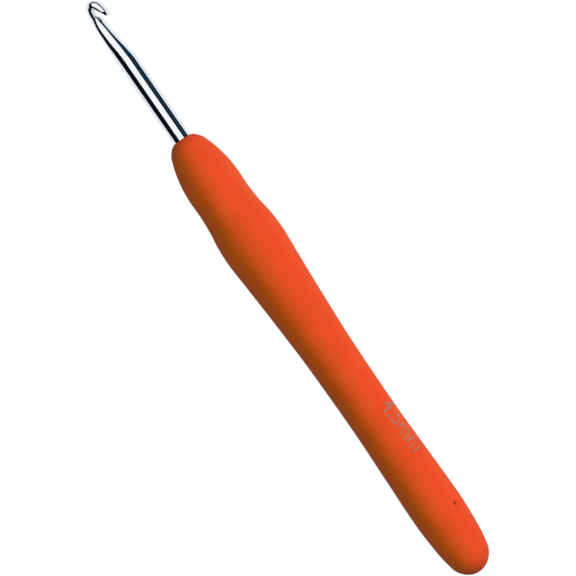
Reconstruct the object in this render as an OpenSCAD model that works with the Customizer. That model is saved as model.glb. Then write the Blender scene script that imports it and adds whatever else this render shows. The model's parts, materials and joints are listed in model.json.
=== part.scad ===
// Soft-grip crochet hook, 4.5 mm size, lying on its back on a table.
// X runs from the hook's tip to the end of the handle and +Z is the handle's front,
// where the thumb rests. The origin is under the middle of the hook, on the table.
// Lengths along the hook are given from the tip, so the tip is at 0.

/* [Hook size] */
// Diameter of the straight metal shaft, which is the hook's size
hook_d = 4.5; // [3.5:0.5:5]
// Length of metal in front of the handle
metal_out = 37.7; // [34:0.1:45]
// Length of the rod that is moulded into the core
tail_len = 52; // [40:1:60]
// Depth of the step where the moulded-in length is turned thinner than the shaft
tail_step = 0.25; // [0.2:0.05:0.5]

/* [Head and neck] */
// Length of the head and the tapered neck together
neck_end = 16; // [14:0.5:20]
// Turn of the mouth about the shaft, away from the handle's front
mouth_turn = 33; // [0:1:45]

/* [Grip outline] */
// Length of the soft grip
grip_len = 119.1; // [112:0.1:125]
// Thickness of the grip (front to back) over its width
grip_flat = 0.88; // [0.8:0.01:1]
// Mean diameter of the grip just behind its rounded nose
nose_d = 9.3; // [8:0.1:10.5]
// Mean diameter at the thumb rest's front edge
thumb_d = 13.3; // [12.6:0.05:13.6]
// Mean diameter at the waist of the thumb rest
waist_d = 13.15; // [12.5:0.05:13.3]
// Largest mean diameter, at the swell behind the thumb rest
swell_d = 15; // [14:0.1:16]
// Mean diameter of the slim part under the palm
slim_d = 11.35; // [10.8:0.05:11.8]
// Largest mean diameter of the flare at the end
flare_d = 12.3; // [11.8:0.05:13]
// Depth of the hollow for the thumb
thumb_dip = 0.55; // [0:0.05:0.8]

/* [Core] */
// Thickness of the soft grip over the core, front and back
grip_wall = 1.5; // [1.3:0.1:1.8]
// Width of a keying groove round the core
key_w = 2; // [1.5:0.1:3]
// Depth of a keying groove round the core
key_depth = 0.6; // [0.3:0.05:0.8]
// Distance from the end of the handle to the locating pin's hole
pin_back = 16.5; // [13:0.1:18]
// Diameter of the hole that the mould's locating pin leaves
pin_d = 0.8; // [0.6:0.1:1.2]

/* [Hidden] */

hook_r = hook_d / 2;
total_len = metal_out + grip_len;
tail_end = metal_out + tail_len;
tail_r = hook_r - tail_step;

// Ratios of the oval grip's half-width and half-thickness to its mean radius
wide = sqrt(2 / (1 + grip_flat * grip_flat));
thick = wide * grip_flat;
axis_z = thick * swell_d / 2;

// Flats that stop the rod from turning in the core
flat_start = tail_end - 16;
flat_len = 10;
flat_thick = 0.75 * hook_d;
rod_chamfer = 0.5;

// The nose starts from inside the rod's surface, so it has no knife edge
nose_start_r = tail_r - 0.2;
nose_round = 2.4;
end_round = 4.2;
end_power = 2.1;
// The grip's outline, as distances behind its nose and mean diameters there
grip_line = [
    [0, 0.76 * nose_d], [2.6, nose_d], [6, 0.86 * thumb_d], [10, 0.97 * thumb_d], [13.3, thumb_d],
    [16.4, waist_d], [21, 1.037 * waist_d], [25, 0.978 * swell_d], [28.8, swell_d],
    [36, 0.945 * swell_d], [47, 1.134 * slim_d], [60.5, 1.031 * slim_d], [76.5, slim_d],
    [90, 0.964 * flare_d], [101.5, flare_d], [110, 0.93 * flare_d], [grip_len, 0.67 * flare_d]
];
thumb_at = 15;
thumb_reach = 6.5;

// The hook's head and neck, from the lip's tip round the slot to the shaft, for a 4.5 mm hook.
// Each row is a section: its inner point (x, z), its outer point (x, z), its half-width, the
// share of the way from outer to inner where it is widest, and its squareness (2 is an oval).
// Inner is the side of the mouth and slot, and z is 0 on the shaft's axis.
drawn_d = 4.5;
// The neck ends just inside the shaft's surface and is seated a little way into the shaft
neck_r = drawn_d / 2 - 0.03;
seat = 0.5;
lip_rows = [
    [4.98, 1.94, 5.06, 2.1, 0.25, 0.5, 3], [4.9, 1.86, 5.03, 2.3, 0.72, 0.5, 3.2],
    [4.68, 1.77, 4.82, 2.51, 1.15, 0.5, 3.2], [4.25, 1.58, 4.25, 2.72, 1.58, 0.5, 3.2],
    [3.65, 1.26, 3.4, 2.82, 1.88, 0.52, 3.2], [3.05, 0.94, 2.45, 2.75, 1.96, 0.54, 3.2],
    [2.6, 0.66, 1.45, 2.5, 1.97, 0.56, 3.2]
];
nose_rows = [
    [2.32, 0.5, 0.7, 1.98, 1.96, 0.58, 3.2], [2.16, 0.39, 0.18, 1.18, 1.93, 0.6, 3],
    [2.11, 0.3, 0, 0.42, 1.84, 0.66, 2.6], [2.13, 0.2, 0.15, -0.44, 1.62, 0.78, 2.2],
    [2.24, 0.12, 0.66, -0.98, 1.5, 0.86, 2]
];
throat_rows = [
    [2.5, 0.06, 1.5, -1.36, 1.46, 0.88, 2], [3, 0.03, 2.55, -1.57, 1.46, 0.88, 2],
    [3.45, 0.08, 3.35, -1.67, 1.49, 0.84, 2], [3.78, 0.32, 3.85, -1.72, 1.58, 0.72, 2.1],
    [4.02, 0.6, 4.25, -1.76, 1.69, 0.62, 2.2], [4.5, 0.76, 4.75, -1.79, 1.81, 0.56, 2.3],
    [5.2, 0.82, 5.4, -1.83, 1.87, 0.52, 2.4]
];
neck_rows = [
    [6.5, 0.93, 6.5, -1.89, 1.87, 0.5, 2.8], [8.3, 1.12, 8.3, -1.97, 1.9, 0.5, 2.8],
    [10.6, 1.43, 10.6, -2.06, 1.95, 0.5, 2.6], [13.1, 1.87, 13.1, -2.15, 2.07, 0.5, 2.2],
    [neck_end, neck_r, neck_end, -neck_r, neck_r, 0.5, 2],
    [neck_end + seat, neck_r, neck_end + seat, -neck_r, neck_r, 0.5, 2]
];
hook_rows = concat(lip_rows, nose_rows, throat_rows, neck_rows);
steps_per_row = 2;

ring_sides = 40;
head_sides = 28;

// The core's outline, as distances behind the grip's nose and radii that leave the wall
core_front = 3.4;
core_back = 6;
core_nose_r = tail_r + 1;
thumb_core_r = thick * thumb_d / 2 - thumb_dip - grip_wall;
swell_core_r = thick * swell_d / 2 - grip_wall;
slim_core_r = thick * slim_d / 2 - grip_wall;
flare_core_r = thick * flare_d / 2 - grip_wall;
core_line = [
    [core_front, core_nose_r], [9, thumb_core_r], [19, thumb_core_r], [28.8, swell_core_r],
    [47, (swell_core_r + slim_core_r) / 2], [70, slim_core_r], [88, slim_core_r], [101, flare_core_r],
    [grip_len - core_back - 2, 0.93 * flare_core_r], [grip_len - core_back, 0.7 * flare_core_r]
];
key_places = [60, 66, 84, 90];

// Slopes and values of a smooth curve through rows of [place, value, ...]
function rise(rows, k, c) = (rows[k + 1][c] - rows[k][c]) / (rows[k + 1][0] - rows[k][0]);
function slope(rows, k, c) =
    k == 0 ? rise(rows, 0, c)
    : k == len(rows) - 1 ? rise(rows, k - 1, c)
    : rise(rows, k - 1, c) * rise(rows, k, c) <= 0 ? 0
    : 2 / (1 / rise(rows, k - 1, c) + 1 / rise(rows, k, c));
function span_of(rows, x, k = 0) = k >= len(rows) - 2 || x < rows[k + 1][0] ? k : span_of(rows, x, k + 1);
function hermite(p, q, m, n, w, t) =
    p * (2 * t + 1) * pow(t - 1, 2) + q * t * t * (3 - 2 * t) + w * (m * t * pow(t - 1, 2) + n * t * t * (t - 1));
function curve(rows, x, c = 1) =
    let (k = span_of(rows, x), w = rows[k + 1][0] - rows[k][0])
    hermite(rows[k][c], rows[k + 1][c], slope(rows, k, c), slope(rows, k + 1, c), w, (x - rows[k][0]) / w);

// Share of full size at a distance from a rounded end of the given length
function rounding(x, length, power) =
    x >= length ? 1 : pow(1 - pow(1 - x / length, power), 1 / power);

// Mean radius of the grip at a distance behind its nose
function grip_r(x) =
    let (full = curve(grip_line, x) / 2 * rounding(grip_len - x, end_round, end_power))
    nose_start_r + (full - nose_start_r) * rounding(x, nose_round, 2);

// Depth of the thumb's hollow at a distance behind the nose and an angle round the grip
function dip(x, a) =
    sin(a) <= 0 ? 0 : thumb_dip * exp(-pow((x - thumb_at) / thumb_reach, 2)) * pow(sin(a), 3);

// A section of the grip. A facet's middle touches the true oval on each side, front and back,
// so the grip lies on a flat facet and has its full width and thickness.
function grip_ring(x) =
    let (r = grip_r(x) / cos(180 / ring_sides))
    [for (i = [0 : ring_sides - 1])
        let (a = 360 * (i + 0.5) / ring_sides)
        [metal_out + x, wide * r * cos(a), thick * r * sin(a) - dip(x, a)]];

// A point of a smooth curve through rows, at a place that counts rows from 0
function through(rows, place) =
    let (
        last = len(rows) - 1,
        k = min(floor(place), last - 1),
        t = place - k,
        a = rows[max(k - 1, 0)],
        b = rows[k],
        c = rows[k + 1],
        d = rows[min(k + 2, last)]
    )
    0.5 * (2 * b + (c - a) * t + (2 * a - 5 * b + 4 * c - d) * t * t + (3 * b - a - 3 * c + d) * t * t * t);

function square_off(v, power) = sign(v) * pow(abs(v), 2 / power);

// A section of the hook from one row, with its two halves meeting at its widest place
function hook_ring(row) =
    [for (i = [0 : head_sides - 1])
        let (
            a = 360 * i / head_sides,
            up = square_off(sin(a), row[6]),
            share = row[5] + up * (up > 0 ? 1 - row[5] : row[5])
        )
        [
            row[2] + share * (row[0] - row[2]),
            row[4] * square_off(cos(a), row[6]),
            row[3] + share * (row[1] - row[3])
        ]];

// A closed skin over rings that follow one another along X
module skin(rings) {
    n = len(rings[0]);
    last = len(rings) - 1;
    polyhedron(
        points = [for (ring = rings) each ring],
        faces = [
            [for (i = [0 : n - 1]) i],
            [for (i = [n - 1 : -1 : 0]) last * n + i],
            for (j = [0 : last - 1], i = [0 : n - 1])
                let (a = j * n + i, b = j * n + (i + 1) % n)
                each [[a, a + n, b + n], [a, b + n, b]]
        ],
        convexity = 6
    );
}

// Distances along a rounded end, closer together towards the end
function end_steps(length, count) = [for (i = [1 : count]) length * (1 - cos(90 * i / count))];

// Sets a shape that is drawn along the shaft's axis, from the tip, in its place
module in_place() {
    translate([-total_len / 2, 0, axis_z]) children();
}

module along_x(from, to, r) {
    translate([from, 0, 0]) rotate([0, 90, 0]) cylinder(r = r, h = to - from, $fn = 96);
}

// Head and neck, bent round the slot in one skin
module head_and_neck() {
    last = len(hook_rows) - 1;
    scale(hook_d / drawn_d)
        skin([for (i = [0 : last * steps_per_row]) hook_ring(through(hook_rows, i / steps_per_row))]);
}

// The rod's straight part, with its tail's flats and chamfer
module straight_rod() {
    difference() {
        union() {
            along_x(neck_end * hook_d / drawn_d, metal_out, hook_r);
            along_x(metal_out - seat, tail_end - rod_chamfer, tail_r);
            translate([tail_end - rod_chamfer, 0, 0]) rotate([0, 90, 0])
                cylinder(r1 = tail_r, r2 = tail_r - rod_chamfer, h = rod_chamfer, $fn = 96);
        }
        for (side = [-1, 1])
            translate([flat_start, side > 0 ? flat_thick / 2 : -flat_thick / 2 - hook_r, -hook_r])
                cube([flat_len, hook_r, hook_d]);
    }
}

// A turned body over the core's outline, without its grooves and bore
module core_body() {
    translate([metal_out, 0, 0]) rotate([90, 0, 90]) rotate_extrude($fn = 96)
        polygon([
            [0, core_line[0][0]],
            for (row = core_line) [row[1], row[0]],
            [0, core_line[len(core_line) - 1][0]]
        ]);
}

// A groove round the core that keys the soft grip to it
module key_groove(x) {
    deep_r = lookup(x, core_line) - key_depth;
    translate([metal_out + x - key_w / 2, 0, 0]) rotate([0, 90, 0])
        difference() {
            cylinder(r = hook_d, h = key_w, $fn = 96);
            translate([0, 0, -1]) cylinder(r = deep_r, h = key_w + 2, $fn = 96);
        }
}

module keyed_core() {
    difference() {
        core_body();
        for (x = key_places) key_groove(x);
    }
}

// The hook: head, neck, shaft and tail are one piece of metal
module hook_shaft() {
    color("silver") in_place() {
        straight_rod();
        rotate([-mouth_turn, 0, 0]) head_and_neck();
    }
}

// Rigid core, moulded round the rod's tail and hidden inside the grip
module handle_core() {
    color("dimgray") in_place()
        difference() {
            keyed_core();
            straight_rod();
        }
}

// Soft grip, moulded over the core
module grip_sleeve() {
    color("orangered") in_place()
        difference() {
            skin([
                grip_ring(0),
                for (x = end_steps(nose_round, 5)) grip_ring(x),
                for (x = [4.5 : 2.2 : 42]) grip_ring(x),
                for (x = [46 : 5 : 101]) grip_ring(x),
                for (x = [104 : 2.5 : 114]) grip_ring(x),
                for (i = [8 : -1 : 0]) grip_ring(grip_len - 0.04 - end_round * (1 - cos(11 * i)))
            ]);
            keyed_core();
            along_x(metal_out - 1, metal_out + core_front + 1, tail_r);
            translate([total_len - pin_back, 0, 0]) cylinder(d = pin_d, h = swell_d, $fn = 32);
        }
}

hook_shaft();
handle_core();
grip_sleeve();
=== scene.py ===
# %% [markdown]
# # A soft-grip crochet hook
#
# This lesson builds the looks of a 4.5 mm crochet hook round its CAD model. The real tool is three
# pieces: a polished metal hook, a rigid core moulded round the hook's tail, and a soft orange grip
# moulded over the core. Every length is in metres, in the CAD model's own frame: +X runs from the
# hook's tip to the end of the handle and +Z is the handle's front, where the thumb rests.

# %% Load the frame
import json
import math

import bmesh
import bpy
from mathutils import Matrix, Vector


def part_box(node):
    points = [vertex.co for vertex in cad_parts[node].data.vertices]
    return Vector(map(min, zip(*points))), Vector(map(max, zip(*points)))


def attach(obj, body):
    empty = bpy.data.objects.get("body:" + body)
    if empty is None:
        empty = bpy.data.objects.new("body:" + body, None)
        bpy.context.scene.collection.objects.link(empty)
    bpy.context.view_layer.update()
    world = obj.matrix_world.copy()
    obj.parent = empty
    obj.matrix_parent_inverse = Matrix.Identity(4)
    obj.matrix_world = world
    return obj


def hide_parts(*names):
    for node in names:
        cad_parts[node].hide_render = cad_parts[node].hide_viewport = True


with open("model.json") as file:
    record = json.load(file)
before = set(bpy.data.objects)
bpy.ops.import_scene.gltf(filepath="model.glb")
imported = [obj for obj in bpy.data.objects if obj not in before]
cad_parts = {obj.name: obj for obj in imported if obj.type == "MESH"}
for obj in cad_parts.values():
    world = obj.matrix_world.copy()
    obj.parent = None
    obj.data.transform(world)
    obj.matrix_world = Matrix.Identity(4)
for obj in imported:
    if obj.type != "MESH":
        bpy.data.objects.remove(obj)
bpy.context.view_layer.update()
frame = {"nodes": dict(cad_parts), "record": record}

MM = 0.001

# %% [markdown]
# ## Where things are
#
# The frame knows where every piece lies, so nothing is placed by eye. The shaft's mount gives its
# radius and the height of the axis that all three pieces share. The boxes of the hook and the grip
# give the tip and the two ends of the handle.

# %% Read the driving sizes
shaft_mount = next(m for m in frame["record"]["mounts"] if m["name"] == "shaft")
SHAFT_R = shaft_mount["dims"]["r_mm"] * MM
AXIS_Z = shaft_mount["pos_m"][2]
hook_lo, hook_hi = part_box("hook_shaft")
grip_lo, grip_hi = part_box("grip_sleeve")
core_lo, core_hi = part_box("handle_core")
TIP_X = hook_lo.x
TAIL_X = hook_hi.x
NOSE_X = grip_lo.x
GRIP_LEN = grip_hi.x - grip_lo.x
print("metal in front of the grip:", round((NOSE_X - TIP_X) / MM, 1), "mm")
print("grip:", round(GRIP_LEN / MM, 1), "mm long")
print("core inside it:", round((core_hi.x - core_lo.x) / MM, 1), "mm long")

# %% [markdown]
# ## Rings that grow into a skin
#
# Both the grip and the hook are long shapes whose section changes smoothly on the way, so both can
# be made like a lathe or forging operator sees them: as one ring after another. `create_circle`
# makes the first ring and `extrude_edge_only` pulls each next one out of the last. Each vertex
# keeps its turn round the ring in a layer that extrusion copies, so a ring can be laid out again
# by a formula, and the faces always join up.

# %% A skin made of rings
def start_skin(sides):
    bm = bmesh.new()
    turn = bm.verts.layers.float.new("turn")
    ring = bmesh.ops.create_circle(bm, segments=sides, radius=1.0)["verts"]
    for v in ring:
        v[turn] = math.atan2(v.co.y, v.co.x)
    return bm, turn, ring, list(bm.edges)


def lay_ring(ring, turn, place):
    for v in ring:
        v.co = place(v[turn])


def pull_ring(bm, edges):
    made = bmesh.ops.extrude_edge_only(bm, edges=edges)["geom"]
    ring = [g for g in made if isinstance(g, bmesh.types.BMVert)]
    fresh = set(ring)
    rim = [g for g in made if isinstance(g, bmesh.types.BMEdge) and fresh.issuperset(g.verts)]
    return ring, rim


def skin(places, sides):
    """A closed skin through rings; each place turns an angle into a point."""
    bm, turn, ring, rim = start_skin(sides)
    lay_ring(ring, turn, places[0])
    bmesh.ops.edgeloop_fill(bm, edges=rim)
    for place in places[1:]:
        ring, rim = pull_ring(bm, rim)
        lay_ring(ring, turn, place)
    bmesh.ops.edgeloop_fill(bm, edges=rim)
    bmesh.ops.recalc_face_normals(bm, faces=bm.faces)
    return bm


def to_object(bm, name, sharp_angle=40):
    """Makes the finished bmesh an object at the origin, smooth except at its real edges."""
    for face in bm.faces:
        face.smooth = True
    for edge in bm.edges:
        if len(edge.link_faces) == 2:
            edge.smooth = edge.calc_face_angle(0.0) < math.radians(sharp_angle)
    mesh = bpy.data.meshes.new(name)
    bm.to_mesh(mesh)
    bm.free()
    piece = bpy.data.objects.new(name, mesh)
    bpy.context.scene.collection.objects.link(piece)
    print(name, "has", len(mesh.polygons), "faces")
    return piece


# %% [markdown]
# ## The grip's outline
#
# A moulder would draw the grip as a side view: a rounded nose, a waist for the thumb, a swell that
# fills the fingers, a slim part under the palm and a flared, rounded end. The outline is a short
# row of places and mean diameters with a smooth curve through them. The curve never overshoots,
# because its slope is level at each waist and swell. The section is an oval, a little flatter
# front to back than side to side, which stops the handle from rolling.

# %% Curves through rows of numbers
def rise(rows, k):
    return (rows[k + 1][1] - rows[k][1]) / (rows[k + 1][0] - rows[k][0])


def slope(rows, k):
    if k == 0:
        return rise(rows, 0)
    if k == len(rows) - 1:
        return rise(rows, k - 1)
    before, after = rise(rows, k - 1), rise(rows, k)
    return 0.0 if before * after <= 0 else 2 / (1 / before + 1 / after)


def curve(rows, x):
    k = max(i for i in range(len(rows) - 1) if i == 0 or rows[i][0] <= x)
    width = rows[k + 1][0] - rows[k][0]
    t = (x - rows[k][0]) / width
    level = rows[k][1] * (2 * t + 1) * (t - 1) ** 2 + rows[k + 1][1] * t * t * (3 - 2 * t)
    lean = slope(rows, k) * t * (t - 1) ** 2 + slope(rows, k + 1) * t * t * (t - 1)
    return level + width * lean


def rounding(x, length, power):
    """Share of full size at a distance x from a rounded end."""
    return 1.0 if x >= length else (1 - (1 - max(x, 0.0) / length) ** power) ** (1 / power)


# %% The grip's side view, in millimetres behind its nose
NOSE_D, THUMB_D, WAIST_D, SWELL_D, SLIM_D, FLARE_D = 9.3, 13.3, 13.15, 15.0, 11.35, 12.3
GRIP_MM = GRIP_LEN / MM
GRIP_LINE = [
    (0, 0.76 * NOSE_D), (2.6, NOSE_D), (6, 0.86 * THUMB_D), (10, 0.97 * THUMB_D), (13.3, THUMB_D),
    (16.4, WAIST_D), (21, 1.037 * WAIST_D), (25, 0.978 * SWELL_D), (28.8, SWELL_D),
    (36, 0.945 * SWELL_D), (47, 1.134 * SLIM_D), (60.5, 1.031 * SLIM_D), (76.5, SLIM_D),
    (90, 0.964 * FLARE_D), (101.5, FLARE_D), (110, 0.93 * FLARE_D), (GRIP_MM, 0.67 * FLARE_D),
]
NOSE_ROUND, END_ROUND, END_POWER = 2.4, 4.2, 2.1
FLATNESS = 0.88
WIDE = math.sqrt(2 / (1 + FLATNESS ** 2))
THICK = WIDE * FLATNESS
TAIL_R = SHAFT_R - 0.25 * MM
THUMB_AT, THUMB_REACH, THUMB_DIP = 15.0, 6.5, 0.55


def grip_radius(x):
    full = curve(GRIP_LINE, x) / 2 * rounding(GRIP_MM - x, END_ROUND, END_POWER)
    start = TAIL_R / MM + 0.2
    return start + (full - start) * rounding(x, NOSE_ROUND, 2)


def thumb_dip(x, angle):
    front = max(math.sin(angle), 0.0)
    return THUMB_DIP * math.exp(-((x - THUMB_AT) / THUMB_REACH) ** 2) * front ** 3


def grip_point(x, angle, proud=0.0):
    """A point of the grip's surface, or that much above it, at x behind the nose."""
    r = grip_radius(x)
    y = (WIDE * r + proud) * math.cos(angle)
    z = (THICK * r + proud) * math.sin(angle) - thumb_dip(x, angle)
    return Vector((NOSE_X + x * MM, y * MM, AXIS_Z + z * MM))


def grip_ring(x):
    return lambda angle: grip_point(x, angle)


def round_ring(x, r):
    """A ring about the axis, at x and radius r in metres."""
    return lambda angle: Vector((x, r * math.cos(angle), AXIS_Z + r * math.sin(angle)))


def eased(length, count):
    """Distances along a rounded end, closer together towards the end."""
    return [length * (1 - math.cos(math.pi / 2 * i / count)) for i in range(count + 1)]


print("at the swell the grip is", round(WIDE * SWELL_D, 2), "mm wide")
print("and", round(THICK * SWELL_D, 2), "mm thick")

# %% Where the rings of the grip go
PIN_BACK = 16.5
PIN_X = GRIP_MM - PIN_BACK
PIN_RINGS = [PIN_X + d for d in (0.9, 0.45, 0, -0.45, -0.9)]
WALL = 1.5
CORE_GAP = 0.03
CORE_FRONT, CORE_BACK = 3.4, 6
core_r = {d: THICK * d / 2 - WALL for d in (THUMB_D, SWELL_D, SLIM_D, FLARE_D)}
PIN_CORE_R = 0.99 * core_r[FLARE_D]
CORE_LINE = [
    (GRIP_MM - CORE_BACK, 0.7 * core_r[FLARE_D]), (GRIP_MM - CORE_BACK - 2, 0.93 * core_r[FLARE_D]),
    *((x, PIN_CORE_R) for x in PIN_RINGS),
    (101, core_r[FLARE_D]), (88, core_r[SLIM_D]), (70, core_r[SLIM_D]),
    (47, (core_r[SWELL_D] + core_r[SLIM_D]) / 2), (28.8, core_r[SWELL_D]),
    (19, core_r[THUMB_D] - THUMB_DIP), (9, core_r[THUMB_D] - THUMB_DIP),
    (CORE_FRONT, TAIL_R / MM + 1),
]
inner_wall = [round_ring(NOSE_X + (GRIP_MM - CORE_BACK) * MM, 1.5 * MM)]
inner_wall += [round_ring(NOSE_X + x * MM, (r + CORE_GAP) * MM) for x, r in CORE_LINE]
inner_wall += [round_ring(NOSE_X + CORE_FRONT * MM, TAIL_R), round_ring(NOSE_X, TAIL_R)]
stations = eased(NOSE_ROUND, 12)
stations += [NOSE_ROUND + 0.8 * i for i in range(1, 140)]
stations = [x for x in stations if x < GRIP_MM - END_ROUND - 0.3 and abs(x - PIN_X) > 1.2]
stations = sorted(stations + PIN_RINGS)
stations += [GRIP_MM - x for x in reversed(eased(END_ROUND, 20))]
stations[-1] -= 0.002
GRIP_SIDES = 72
grip_bm = skin(inner_wall + [grip_ring(x) for x in stations], GRIP_SIDES)
print("the grip's skin has", len(stations), "outer rings")

# %% [markdown]
# ## The locating pin's hole
#
# While the soft grip is moulded, a pin in the mould holds the core in the middle, and it leaves a
# small round hole near the end of the handle. The same patch of faces is opened in the outside and
# in the inner wall, each opening is rounded to the pin's size, and `bridge_loops` makes the hole's
# wall between them, so the dark core shows at the bottom as it does on the real handle.

# %% Open the hole through both walls
PIN_R = 0.42 * MM
PATCH_REACH = 0.95 * MM
HOLE_INSET = 0.12 * MM
RIM_ROUND = 0.07 * MM


def open_patch(bm, x, low, high, surface):
    """Opens a round hole in the four-by-four patch of faces on the front at x; returns its rim."""
    near = [
        f for f in bm.faces
        if abs(f.calc_center_median().x - x) < PATCH_REACH and low < f.calc_center_median().z < high
    ]
    columns = sorted({round(abs(f.calc_center_median().y) / MM, 2) for f in near})[:2]
    patch = [f for f in near if abs(f.calc_center_median().y) < (columns[1] + 0.05) * MM]
    bmesh.ops.inset_region(bm, faces=patch, thickness=HOLE_INSET, use_even_offset=True)
    rim = list({e for f in patch for e in f.edges if sum(g in patch for g in e.link_faces) == 1})
    for v in {v for e in rim for v in e.verts}:
        turn = math.atan2(v.co.y, v.co.x - x)
        v.co.x, v.co.y = x + PIN_R * math.cos(turn), PIN_R * math.sin(turn)
        v.co.z = surface(v.co.y)
    bmesh.ops.delete(bm, geom=patch, context="FACES")
    return rim


def oval_height(half_wide, half_thick):
    return lambda y: AXIS_Z + half_thick * math.sqrt(1 - (y / half_wide) ** 2)


pin_x = NOSE_X + PIN_X * MM
out_r, in_r = grip_radius(PIN_X) * MM, (PIN_CORE_R + CORE_GAP) * MM
middle_z = AXIS_Z + (out_r * THICK + in_r) / 2
outer_rim = open_patch(grip_bm, pin_x, middle_z, 1.0, oval_height(out_r * WIDE, out_r * THICK))
inner_rim = open_patch(grip_bm, pin_x, AXIS_Z + 0.8 * in_r, middle_z, oval_height(in_r, in_r))
bmesh.ops.bridge_loops(grip_bm, edges=outer_rim + inner_rim)
bmesh.ops.bevel(
    grip_bm, geom=outer_rim, offset=RIM_ROUND, segments=2, profile=0.5, material=-1, affect="EDGES"
)
bmesh.ops.recalc_face_normals(grip_bm, faces=grip_bm.faces)
open_edges = sum(len(e.link_faces) != 2 for e in grip_bm.edges)
print("pin hole rim edges:", len(outer_rim), len(inner_rim), "open edges left:", open_edges)
grip = to_object(grip_bm, "grip_soft_sleeve")

# %% [markdown]
# ## The hook
#
# The hook is one bar: its end is forged and ground to a rounded head with a slot under a lip, then a
# neck grows back to the full round shaft. Cutting the slot out of a blunt head would leave knife
# edges, and yarn would split on them. So the skin follows the bar the way the metal does: from the
# tail, along the shaft and the neck, round the end of the slot and back along the lip.

# %% Stations of the head and neck, in millimetres for a 4.5 mm hook
# inner x, inner z, outer x, outer z, half-width, share from the outer point to the widest place,
# squareness (2 is an oval); inner is the side of the mouth and slot
LIP = [
    (4.98, 1.94, 5.06, 2.10, 0.25, 0.5, 3.0), (4.90, 1.86, 5.03, 2.30, 0.72, 0.5, 3.2),
    (4.68, 1.77, 4.82, 2.51, 1.15, 0.5, 3.2), (4.25, 1.58, 4.25, 2.72, 1.58, 0.5, 3.2),
    (3.65, 1.26, 3.40, 2.82, 1.88, 0.52, 3.2), (3.05, 0.94, 2.45, 2.75, 1.96, 0.54, 3.2),
    (2.60, 0.66, 1.45, 2.50, 1.97, 0.56, 3.2),
]
NOSE = [
    (2.32, 0.50, 0.70, 1.98, 1.96, 0.58, 3.2), (2.16, 0.39, 0.18, 1.18, 1.93, 0.60, 3.0),
    (2.11, 0.30, 0.00, 0.42, 1.84, 0.66, 2.6), (2.13, 0.20, 0.15, -0.44, 1.62, 0.78, 2.2),
    (2.24, 0.12, 0.66, -0.98, 1.50, 0.86, 2.0),
]
THROAT = [
    (2.50, 0.06, 1.50, -1.36, 1.46, 0.88, 2.0), (3.00, 0.03, 2.55, -1.57, 1.46, 0.88, 2.0),
    (3.45, 0.08, 3.35, -1.67, 1.49, 0.84, 2.0), (3.78, 0.32, 3.85, -1.72, 1.58, 0.72, 2.1),
    (4.02, 0.60, 4.25, -1.76, 1.69, 0.62, 2.2), (4.50, 0.76, 4.75, -1.79, 1.81, 0.56, 2.3),
    (5.20, 0.82, 5.40, -1.83, 1.87, 0.52, 2.4),
]
FULL = SHAFT_R / MM
NECK = [
    (6.5, 0.93, 6.5, -1.89, 1.87, 0.5, 2.8), (8.3, 1.12, 8.3, -1.97, 1.90, 0.5, 2.8),
    (10.6, 1.43, 10.6, -2.06, 1.95, 0.5, 2.6), (13.1, 1.87, 13.1, -2.15, 2.07, 0.5, 2.2),
    (16.0, FULL, 16.0, -FULL, FULL, 0.5, 2.0), (17.5, FULL, 17.5, -FULL, FULL, 0.5, 2.0),
]
HEAD_ROWS = LIP + NOSE + THROAT + NECK
MOUTH_TURN = math.radians(33)


def through(rows, place):
    """A point of a smooth curve through rows, at a place that counts rows from 0."""
    last = len(rows) - 1
    k = min(int(place), last - 1)
    t = place - k
    a, b, c, d = (rows[min(max(k + i, 0), last)] for i in (-1, 0, 1, 2))
    return [
        0.5 * (2 * q + (r - p) * t + (2 * p - 5 * q + 4 * r - s) * t ** 2
               + (3 * q - p - 3 * r + s) * t ** 3)
        for p, q, r, s in zip(a, b, c, d)
    ]


def square_off(v, power):
    return math.copysign(abs(v) ** (2 / power), v)


# %% [markdown]
# A section of the lip is square with soft corners, so its two flanks are almost flat, as they are
# where a real hook is ground. Round the slot's end the section gets narrower and is widest close
# to the slot, which leaves the scooped throat. Along the neck it grows wide again and eases from
# a soft square into the shaft's circle.

# %% One section of the hook
def hook_ring(row):
    inner, outer = Vector((row[0], 0, row[1])), Vector((row[2], 0, row[3]))
    half_width, widest, square = row[4:]
    turned = Matrix.Rotation(-MOUTH_TURN, 3, "X")

    def place(angle):
        local = angle + MOUTH_TURN
        up, sideways = square_off(math.sin(local), square), square_off(math.cos(local), square)
        share = widest + up * (1 - widest if up > 0 else widest)
        point = turned @ (outer + share * (inner - outer) + Vector((0, half_width * sideways, 0)))
        return Vector((TIP_X + point.x * MM, point.y * MM, AXIS_Z + point.z * MM))

    return place


# %% Hook skin: from the lip's tip to the tail
HEAD_STEPS = 6
HOOK_SIDES = 64
head_places = [
    hook_ring(through(HEAD_ROWS, i / HEAD_STEPS)) for i in range((len(HEAD_ROWS) - 1) * HEAD_STEPS + 1)
]
FLAT_START, FLAT_LEN, FLAT_HALF, CHAMFER = TAIL_X - 16 * MM, 10 * MM, 0.375 * 4.5 * MM, 0.5 * MM


def flat_ring(x):
    def place(angle):
        y = TAIL_R * math.cos(angle)
        return Vector((x, min(max(y, -FLAT_HALF), FLAT_HALF), AXIS_Z + TAIL_R * math.sin(angle)))

    return place


tail_places = [round_ring(NOSE_X - d * MM, SHAFT_R) for d in (16, 10, 5, 0)]
tail_places += [round_ring(x, TAIL_R) for x in (NOSE_X, NOSE_X + 15 * MM, FLAT_START)]
tail_places += [flat_ring(FLAT_START), flat_ring(FLAT_START + FLAT_LEN)]
tail_places += [round_ring(FLAT_START + FLAT_LEN, TAIL_R), round_ring(TAIL_X - CHAMFER, TAIL_R)]
tail_places += [round_ring(TAIL_X, TAIL_R - CHAMFER)]
hook_bm = skin(head_places + tail_places, HOOK_SIDES)
hook = to_object(hook_bm, "metal_hook", sharp_angle=30)

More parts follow.
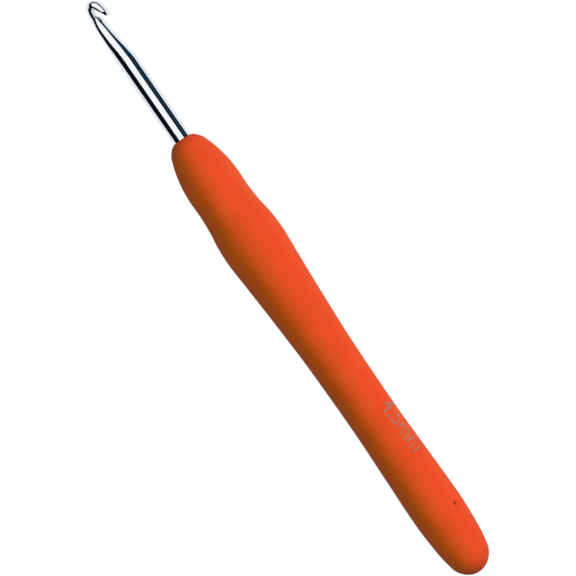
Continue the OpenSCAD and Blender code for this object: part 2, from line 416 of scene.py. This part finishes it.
# %% [markdown]
# ## The printed size
#
# Hooks are sorted by the diameter of their shaft, so the size is printed on the grip where the palm
# doesn't rub it. The ink is a very thin film. A text curve gives the letters, and the mesh made of
# it is sliced across every few tenths of a millimetre with `bisect_plane`, because only a mesh with
# enough points can bend. Then each point moves onto the oval, a hair above or below the surface.

# %% Letters of the size mark
PRINT_FROM, PRINT_LEN, PRINT_HEIGHT = 74.9, 13.05, 5.4
PRINT_MIDDLE = math.radians(80)
INK = 0.02
letters = bpy.data.curves.new("size_letters", "FONT")
letters.body = "4.5mm"
letters.extrude = 1.0
letters.offset = 0.004
letters_object = bpy.data.objects.new("size_letters", letters)
bpy.context.scene.collection.objects.link(letters_object)
bpy.context.view_layer.update()
evaluated = letters_object.evaluated_get(bpy.context.evaluated_depsgraph_get())
flat_letters = bpy.data.meshes.new_from_object(evaluated)
bpy.data.objects.remove(letters_object)
print_bm = bmesh.new()
print_bm.from_mesh(flat_letters)
bpy.data.meshes.remove(flat_letters)
bmesh.ops.remove_doubles(print_bm, verts=print_bm.verts, dist=0.0005)
lo_x, hi_x = (f(v.co.x for v in print_bm.verts) for f in (min, max))
lo_y, hi_y = (f(v.co.y for v in print_bm.verts) for f in (min, max))
bmesh.ops.translate(print_bm, vec=(-lo_x, -(lo_y + hi_y) / 2, 0), verts=print_bm.verts)
sized = (PRINT_LEN / (hi_x - lo_x), PRINT_HEIGHT / (hi_y - lo_y), 1)
bmesh.ops.scale(print_bm, vec=sized, verts=print_bm.verts)
print("letters have", len(print_bm.verts), "points before slicing")

# %% Slice them and wrap them round the grip
SLICES = 14
for i in range(1, SLICES):
    level = PRINT_HEIGHT * (i / SLICES - 0.5)
    everything = list(print_bm.verts) + list(print_bm.edges) + list(print_bm.faces)
    bmesh.ops.bisect_plane(print_bm, geom=everything, dist=1e-5, plane_co=(0, level, 0), plane_no=(0, 1, 0))
for v in print_bm.verts:
    x = PRINT_FROM + v.co.x
    arc = WIDE * grip_radius(x)
    v.co = grip_point(x, PRINT_MIDDLE - v.co.y / arc, proud=INK if v.co.z > 0 else -INK)
bmesh.ops.recalc_face_normals(print_bm, faces=print_bm.faces)
size_mark = to_object(print_bm, "size_mark_ink", sharp_angle=60)

# %% [markdown]
# ## Soft orange rubber
#
# The grip is a thermoplastic rubber. It is matte, with a grain finer than a fifth of a millimetre
# that the mould's blasted wall leaves, and the colour is even with only faint clouds in it. The
# thumb rest is polished a little by use, so its roughness drops there. All patterns read Object
# coordinates, so they stay on the rubber when the handle is seen from another side.

# %% Material helpers
def new_material(name):
    material = bpy.data.materials.new(name)
    material.use_nodes = True
    return material, material.node_tree, material.node_tree.nodes["Principled BSDF"]


def node(tree, kind, **settings):
    made = tree.nodes.new("ShaderNode" + kind)
    for name, value in settings.items():
        setattr(made, name, value)
    return made


def stretched(tree, scale):
    """Object coordinates with a scale for each axis."""
    place = node(tree, "TexCoord")
    mapping = node(tree, "Mapping")
    mapping.inputs["Scale"].default_value = scale
    tree.links.new(place.outputs["Object"], mapping.inputs["Vector"])
    return mapping.outputs["Vector"]


def noise(tree, vector, scale, detail=2.0, roughness=0.5):
    made = node(tree, "TexNoise")
    made.inputs["Scale"].default_value = scale
    made.inputs["Detail"].default_value = detail
    made.inputs["Roughness"].default_value = roughness
    tree.links.new(vector, made.inputs["Vector"])
    return made.outputs["Fac"]


def spread(tree, value, low, high, to_low, to_high):
    """Maps a value from one range to another."""
    made = node(tree, "MapRange")
    for name, number in zip(("From Min", "From Max", "To Min", "To Max"), (low, high, to_low, to_high)):
        made.inputs[name].default_value = number
    tree.links.new(value, made.inputs["Value"])
    return made.outputs["Result"]


def blended(tree, share, first, second):
    """A colour between two, each a plain colour or another node's output."""
    made = node(tree, "Mix", data_type="RGBA")
    tree.links.new(share, made.inputs["Factor"])
    for socket, colour in ((made.inputs[6], first), (made.inputs[7], second)):
        if isinstance(colour, tuple):
            socket.default_value = (*colour, 1)
        else:
            tree.links.new(colour, socket)
    return made.outputs[2]


def bumped(tree, shader, height, distance, strength):
    made = node(tree, "Bump")
    made.inputs["Distance"].default_value = distance
    made.inputs["Strength"].default_value = strength
    tree.links.new(height, made.inputs["Height"])
    tree.links.new(made.outputs["Normal"], shader.inputs["Normal"])


# %% Orange rubber
rubber, tree, shader = new_material("orange_rubber")
flat = stretched(tree, (1, 1, 1))
clouds = noise(tree, flat, 140, detail=4)
grain = noise(tree, flat, 5200, detail=3, roughness=0.6)
cloudy = blended(tree, spread(tree, clouds, 0.35, 0.65, 0, 1), (0.82, 0.078, 0.0185), (0.88, 0.087, 0.021))
speckled = spread(tree, grain, 0.62, 0.74, 0, 0.16)
orange = blended(tree, speckled, cloudy, (0.62, 0.055, 0.014))
tree.links.new(orange, shader.inputs["Base Color"])
thumb = node(tree, "VectorMath", operation="DISTANCE")
thumb.inputs[1].default_value = (NOSE_X + THUMB_AT * MM, 0, AXIS_Z + 5.5 * MM)
tree.links.new(flat, thumb.inputs[0])
worn = spread(tree, thumb.outputs["Value"], 0.003, 0.011, -0.14, 0.0)
matte = node(tree, "Math", operation="ADD")
tree.links.new(spread(tree, clouds, 0.3, 0.7, 0.66, 0.76), matte.inputs[0])
tree.links.new(worn, matte.inputs[1])
tree.links.new(matte.outputs["Value"], shader.inputs["Roughness"])
shader.inputs["Specular IOR Level"].default_value = 0.12
shader.inputs["Sheen Weight"].default_value = 0.03
shader.inputs["Sheen Roughness"].default_value = 0.5
shader.inputs["Sheen Tint"].default_value = (1.0, 0.55, 0.35, 1)
bumped(tree, shader, grain, 0.03 * MM, 0.45)
print("rubber nodes:", len(tree.nodes))

# %% [markdown]
# ## Bright metal
#
# The hook is aluminium, drawn as a rod, then ground and tumbled until it is almost a mirror. Very
# fine lines along the rod are left from drawing, and handling leaves soft smudges that are a little
# rougher. The lines are a noise pulled out along X, both as a tiny bump and in the roughness.

# %% Polished metal
metal, tree, shader = new_material("polished_metal")
lines = noise(tree, stretched(tree, (25, 2600, 2600)), 1.0, detail=3)
smudges = noise(tree, stretched(tree, (1, 1, 1)), 260, detail=4, roughness=0.6)
shader.inputs["Metallic"].default_value = 1.0
bright = blended(tree, spread(tree, smudges, 0.35, 0.7, 0, 1), (0.88, 0.905, 0.93), (0.84, 0.87, 0.90))
tree.links.new(bright, shader.inputs["Base Color"])
sheen = node(tree, "Math", operation="ADD")
tree.links.new(spread(tree, smudges, 0.4, 0.75, 0.045, 0.10), sheen.inputs[0])
tree.links.new(spread(tree, lines, 0.4, 0.7, 0.0, 0.03), sheen.inputs[1])
tree.links.new(sheen.outputs["Value"], shader.inputs["Roughness"])
bumped(tree, shader, lines, 0.0015 * MM, 0.25)
print("metal nodes:", len(tree.nodes))

# %% [markdown]
# ## Core plastic and ink
#
# The core is a stiff, dark plastic that only shows at the bottom of the pin's hole. The ink is a
# grey that has sunk into the soft rubber: it is thin, so orange shows through it in patches.

# %% Core plastic and ink
plastic, tree, shader = new_material("core_plastic")
flow = noise(tree, stretched(tree, (60, 400, 400)), 1.0, detail=3)
dark = blended(tree, flow, (0.022, 0.013, 0.008), (0.034, 0.020, 0.012))
tree.links.new(dark, shader.inputs["Base Color"])
tree.links.new(spread(tree, flow, 0.3, 0.7, 0.42, 0.55), shader.inputs["Roughness"])

ink, tree, shader = new_material("size_ink")
flat = stretched(tree, (1, 1, 1))
patches = noise(tree, flat, 700, detail=4, roughness=0.65)
fine = noise(tree, flat, 5200, detail=3, roughness=0.6)
thin_ink, thick_ink = (0.62, 0.125, 0.05), (0.42, 0.225, 0.15)
inked = blended(tree, spread(tree, patches, 0.38, 0.62, 0, 1), thick_ink, thin_ink)
tree.links.new(inked, shader.inputs["Base Color"])
tree.links.new(spread(tree, patches, 0.3, 0.7, 0.6, 0.75), shader.inputs["Roughness"])
shader.inputs["Specular IOR Level"].default_value = 0.15
bumped(tree, shader, fine, 0.03 * MM, 0.45)

# %% [markdown]
# Each piece now gets its finish and its place in the frame, all under one root. The core keeps its
# CAD shape, since so little of it shows, and only its material changes.

# %% Finish and place
grip.data.materials.append(rubber)
hook.data.materials.append(metal)
size_mark.data.materials.append(ink)
core = frame["nodes"]["handle_core"]
for holder in core.material_slots:
    holder.material = plastic
for piece, slot_name in ((grip, "grip_rubber"), (hook, "hook_metal"), (size_mark, "grip_rubber")):
    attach(piece, "root")
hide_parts("grip_sleeve")
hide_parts("hook_shaft")

# %% [markdown]
# ## Camera
#
# The hook lies on its back, and the camera looks square to its length from halfway between the
# front and one side, so the whole handle runs corner to corner. A long lens keeps the sides almost
# parallel.

# %% Camera
scene = bpy.context.scene
FRAME_WIDTH = 130.9 * MM
LENS, SENSOR = 135.0, 36.0
ELEVATION = math.radians(45)
SLANT = math.radians(55.37)
along = Vector((1, 0, 0))
toward = Vector((0, -math.sin(ELEVATION), math.cos(ELEVATION)))
side = toward.cross(along)
right = math.cos(SLANT) * along + math.sin(SLANT) * side
up = toward.cross(right)
middle = Vector((TIP_X + 79.07 * MM, 0, AXIS_Z))
target = middle + 0.637 * MM * side
camera_data = bpy.data.cameras.new("camera")
camera_data.lens, camera_data.sensor_width = LENS, SENSOR
camera_data.clip_start, camera_data.clip_end = 0.01, 20
camera = bpy.data.objects.new("camera", camera_data)
scene.collection.objects.link(camera)
distance = FRAME_WIDTH * LENS / SENSOR
placed = Matrix((right, up, toward)).transposed().to_4x4()
placed.translation = target + toward * distance
camera.matrix_world = placed
scene.camera = camera
scene.view_settings.view_transform = "Standard"
print("camera is", round(distance, 3), "m away")

# %% [markdown]
# ## Light
#
# Rubber and metal need different light. The rubber is lit by four large, soft lamps in an arc round
# the handle: the strongest stands beyond its far side and a dim, greener one fills the near side.
# The metal is a mirror, so it is lit by what it reflects: a white card in front gives the long
# highlight, a pale card behind gives the light edges, and the dark room between gives the two dark
# bands. The lamps are hidden from reflections and the cards from everything else.

# %% Lamps and cards
world = bpy.data.worlds.new("studio")
world.use_nodes = True
scene.world = world
world.node_tree.nodes["Background"].inputs[0].default_value = (0.003, 0.004, 0.006, 1)


def around(turn):
    """A direction square to the handle, turned from the camera's side towards the far side."""
    return toward * math.cos(math.radians(turn)) + side * math.sin(math.radians(turn))


def aim(obj, direction, reach):
    placed = direction.to_track_quat("Z", "Y").to_matrix().to_4x4()
    placed.translation = Vector((0, 0, AXIS_Z)) + direction * reach
    obj.matrix_world = placed


def lamp(name, turn, strength, reach=0.7, size=0.32):
    """A soft lamp; strength is what each colour adds to a white surface that faces it."""
    data = bpy.data.lights.new(name, "AREA")
    data.shape, data.size, data.size_y = "RECTANGLE", 2 * size, size
    data.energy = max(strength) * (math.pi * reach) ** 2
    data.color = [channel / max(strength) for channel in strength]
    obj = bpy.data.objects.new(name, data)
    scene.collection.objects.link(obj)
    aim(obj, around(turn), reach)
    obj.visible_glossy = False
    obj.visible_camera = False
    print(name, "gives", round(data.energy, 2), "W")


def staged(bm, name, glow, strength):
    """A glowing sheet that isn't part of the object and neither lights nor shades it."""
    mesh = bpy.data.meshes.new(name)
    bm.to_mesh(mesh)
    bm.free()
    obj = bpy.data.objects.new(name, mesh)
    scene.collection.objects.link(obj)
    material = bpy.data.materials.new(name)
    material.use_nodes = True
    tree = material.node_tree
    tree.nodes.clear()
    light = tree.nodes.new("ShaderNodeEmission")
    light.inputs[0].default_value = (*glow, 1)
    light.inputs[1].default_value = strength
    out = tree.nodes.new("ShaderNodeOutputMaterial")
    tree.links.new(light.outputs[0], out.inputs[0])
    mesh.materials.append(material)
    obj.visible_diffuse = False
    obj.visible_shadow = False
    return obj


def sheet(width, depth):
    bm = bmesh.new()
    bmesh.ops.create_grid(bm, x_segments=1, y_segments=1, size=0.5)
    bmesh.ops.scale(bm, vec=(width, depth, 1), verts=bm.verts)
    return bm


def card(name, turn, reach, size, glow, strength, shift=0.0):
    """A card square to the handle; shift moves it along, away from the tip."""
    obj = staged(sheet(*size), name, glow, strength)
    aim(obj, around(turn), reach)
    obj.location.x += shift
    obj.visible_camera = False


lamp("near_fill", -40, (0.258, 0.380, 0.060))
lamp("front", 10, (0.175, 0.460, 0.0))
lamp("key", 60, (1.010, 0.543, 1.02))
lamp("far_rim", 125, (0.074, 0.414, 0.0))
card("front_card", 0, 0.5, (0.9, 0.61), (0.97, 0.99, 1.0), 1.06, shift=-0.2)
card("far_card", 62, 0.5, (0.9, 0.3), (0.25, 0.62, 1.0), 0.05)
card("back_card", 180, 0.08, (2.4, 2.4), (0.86, 0.93, 1.0), 0.98)

# %% [markdown]
# The floor and the surround only glow, so the background stays an even white behind the metal's
# dark bands. They are hidden from reflections, or they would take the place of the cards.

# %% Pale floor and surround
floor = staged(sheet(3, 3), "floor", (1, 1, 1), 1.0)
floor.visible_glossy = False
bowl_bm = bmesh.new()
bmesh.ops.create_uvsphere(bowl_bm, u_segments=48, v_segments=24, radius=1.4)
surround = staged(bowl_bm, "surround", (1, 1, 1), 1.0)
surround.visible_glossy = False
